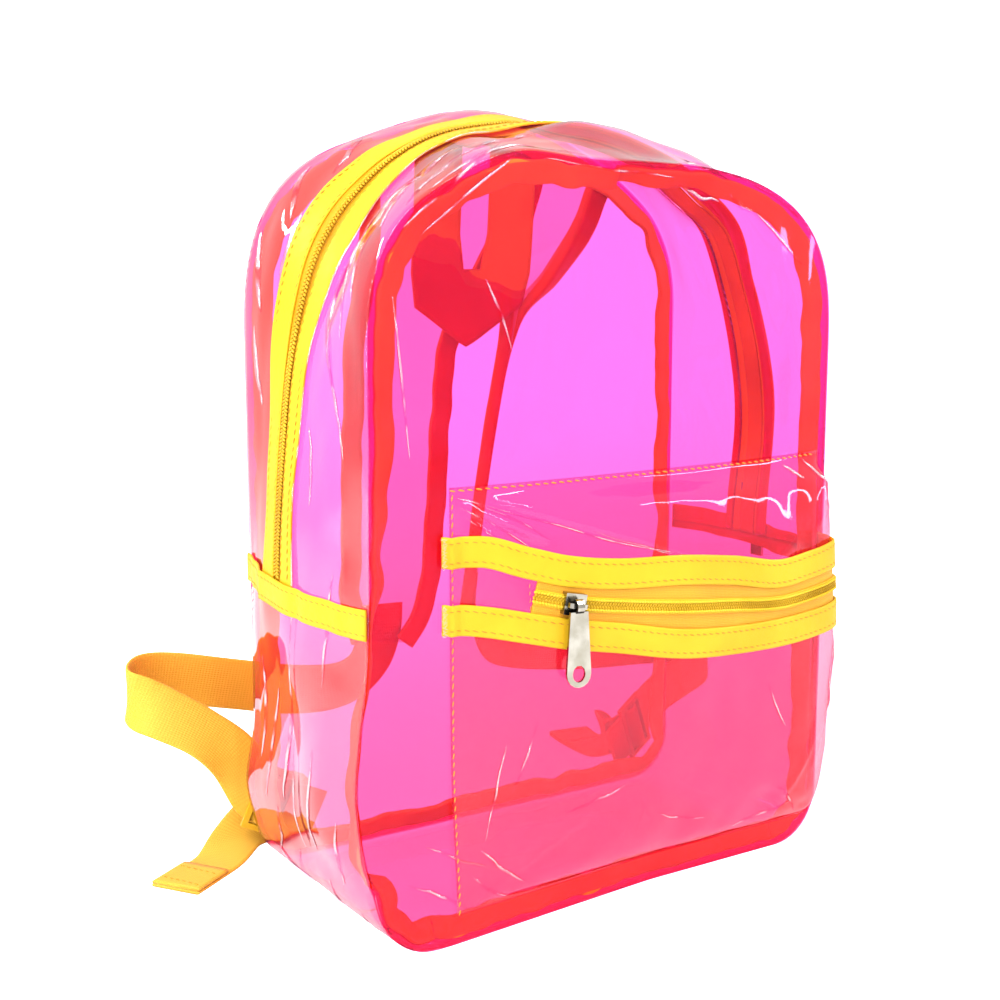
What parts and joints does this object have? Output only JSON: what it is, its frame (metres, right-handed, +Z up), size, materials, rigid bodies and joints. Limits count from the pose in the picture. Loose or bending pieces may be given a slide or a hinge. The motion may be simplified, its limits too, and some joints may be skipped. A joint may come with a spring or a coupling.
{
  "type": "clear stadium backpack",
  "caption": "See-through film backpack standing upright, with an arched top zip, a front pocket with a sloping zip between two bands, padded-edge shoulder straps and a haul loop.",
  "frame": {"origin": "floor under the middle of the bag body, halfway between its two side seams and its front and back seams", "axes": "+X to the right as the front pocket is seen, +Y from the front pocket to the back panel and straps, +Z up to the arched top"},
  "size_m": [0.3437, 0.2304, 0.3323],
  "materials": {
    "pink_film": "clear pink film, glossy",
    "yellow_vinyl": "soft vinyl, satin",
    "yellow_tape": "woven zip tape and plastic coil",
    "yellow_webbing": "smooth flat strap",
    "nickel": "nickel plate, lightly worn"
  },
  "bodies": {
    "bag": {"back_panel": "pink_film", "front_panel": "pink_film", "gusset_lower": "pink_film", "gusset_upper_back": "pink_film", "gusset_upper_front": "pink_film", "back_seam_binding": "yellow_vinyl", "front_seam_binding": "yellow_vinyl", "side_band_left": "yellow_vinyl", "side_band_right": "yellow_vinyl", "main_zip_tape": "yellow_tape", "main_zip_coil": "yellow_tape", "main_zip_slider": "nickel", "pocket_lower": "pink_film", "pocket_upper": "pink_film", "pocket_band_lower": "yellow_vinyl", "pocket_band_upper": "yellow_vinyl", "pocket_zip_tab": "pink_film", "pocket_zip_tape": "yellow_tape", "pocket_zip_coil": "yellow_tape", "pocket_zip_slider": "nickel", "haul_handle": "yellow_webbing", "strap_pad_left": "pink_film", "strap_pad_right": "pink_film", "strap_edge_left_a": "yellow_vinyl", "strap_edge_left_b": "yellow_vinyl", "strap_edge_right_a": "yellow_vinyl", "strap_edge_right_b": "yellow_vinyl", "strap_webbing_left": "yellow_webbing", "strap_webbing_right": "yellow_webbing", "strap_adjuster_left": "yellow_vinyl", "strap_adjuster_right": "yellow_vinyl"},
    "pocket_pull": {"pocket_zip_pull": "nickel"}
  },
  "joints": [
    {"name": "pocket_pull_swing", "type": "hinge", "parent": "bag", "child": "pocket_pull", "pos_m": [-0.04469, -0.0891, 0.14053], "axis": [-0.9794, 0.2018, 0], "range_deg": [0, 150]}
  ]
}
